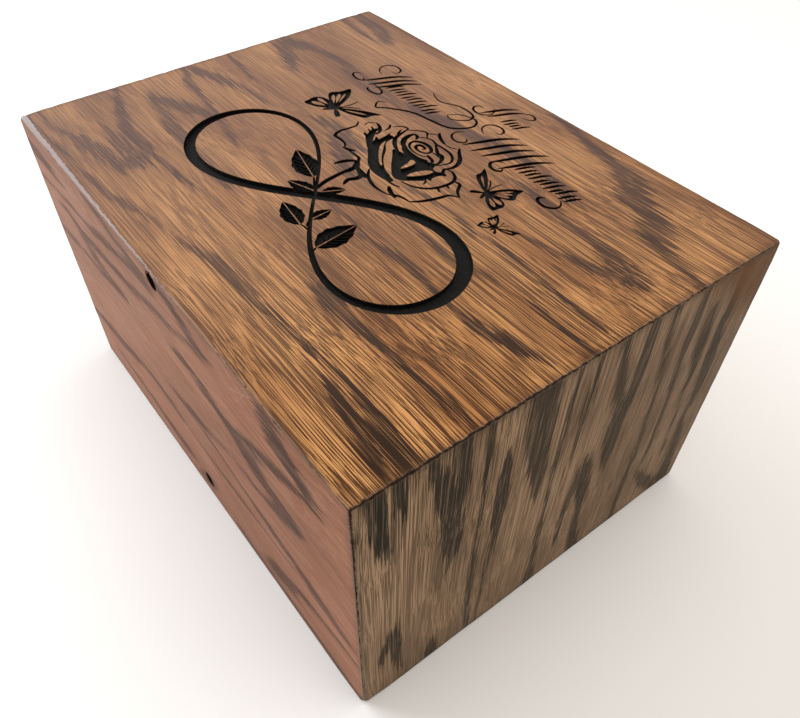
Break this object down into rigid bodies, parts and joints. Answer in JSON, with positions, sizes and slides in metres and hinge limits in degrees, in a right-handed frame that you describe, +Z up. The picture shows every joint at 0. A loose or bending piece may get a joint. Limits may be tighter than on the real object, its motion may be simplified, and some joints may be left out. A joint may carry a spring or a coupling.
{
  "type": "cremation urn box",
  "caption": "Closed rectangular hardwood urn box with mitred boards, a carved top of a loop, rose, leaves and butterflies, and screws sunk in its front.",
  "frame": {"origin": "middle of the underside that the box stands on", "axes": "+Z up, +X along the box, from left to right for someone who reads the carving, +Y from the screwed front board to the back board"},
  "size_m": [0.254, 0.19, 0.144],
  "materials": {
    "carved_top": "stained open-grain oak, satin, with blackened carving",
    "front_oak": "stained oak, satin, pinkish brown",
    "end_oak": "dark stained oak, upright grain, dull satin",
    "plain_oak": "stained oak, plainer figure, dull satin",
    "screw_metal": "dull brass"
  },
  "bodies": {
    "root": {"top_panel": "carved_top", "bottom_panel": "plain_oak", "front_panel": "front_oak", "back_panel": "plain_oak", "right_end": "end_oak", "left_end": "end_oak", "screw_upper": "screw_metal", "screw_lower": "screw_metal"}
  },
  "joints": []
}
